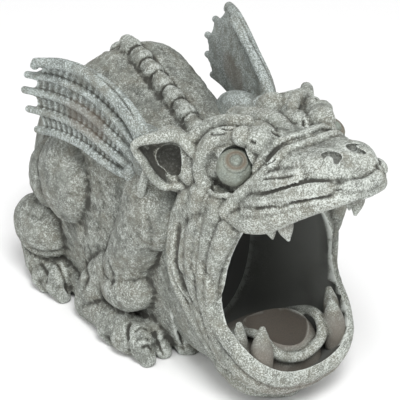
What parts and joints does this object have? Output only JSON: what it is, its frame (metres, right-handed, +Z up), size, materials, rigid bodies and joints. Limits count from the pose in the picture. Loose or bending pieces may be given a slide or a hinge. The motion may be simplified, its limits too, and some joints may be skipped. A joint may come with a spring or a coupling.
{
  "type": "gargoyle rain spout ornament",
  "caption": "Crouching winged gargoyle, cast hollow, with a wide open mouth that lets rainwater out and a rear socket for a rectangular downpipe.",
  "frame": {"origin": "on the flat underside, in the middle plane, under the shoulders", "axes": "-Y towards the beast's nose, +Z up, +X towards the beast's left side"},
  "size_m": [0.2058, 0.3979, 0.254],
  "materials": {
    "weathered_stone": "matte, grainy, dry-brushed grey"
  },
  "bodies": {
    "root": {"gargoyle": "weathered_stone"}
  },
  "joints": []
}
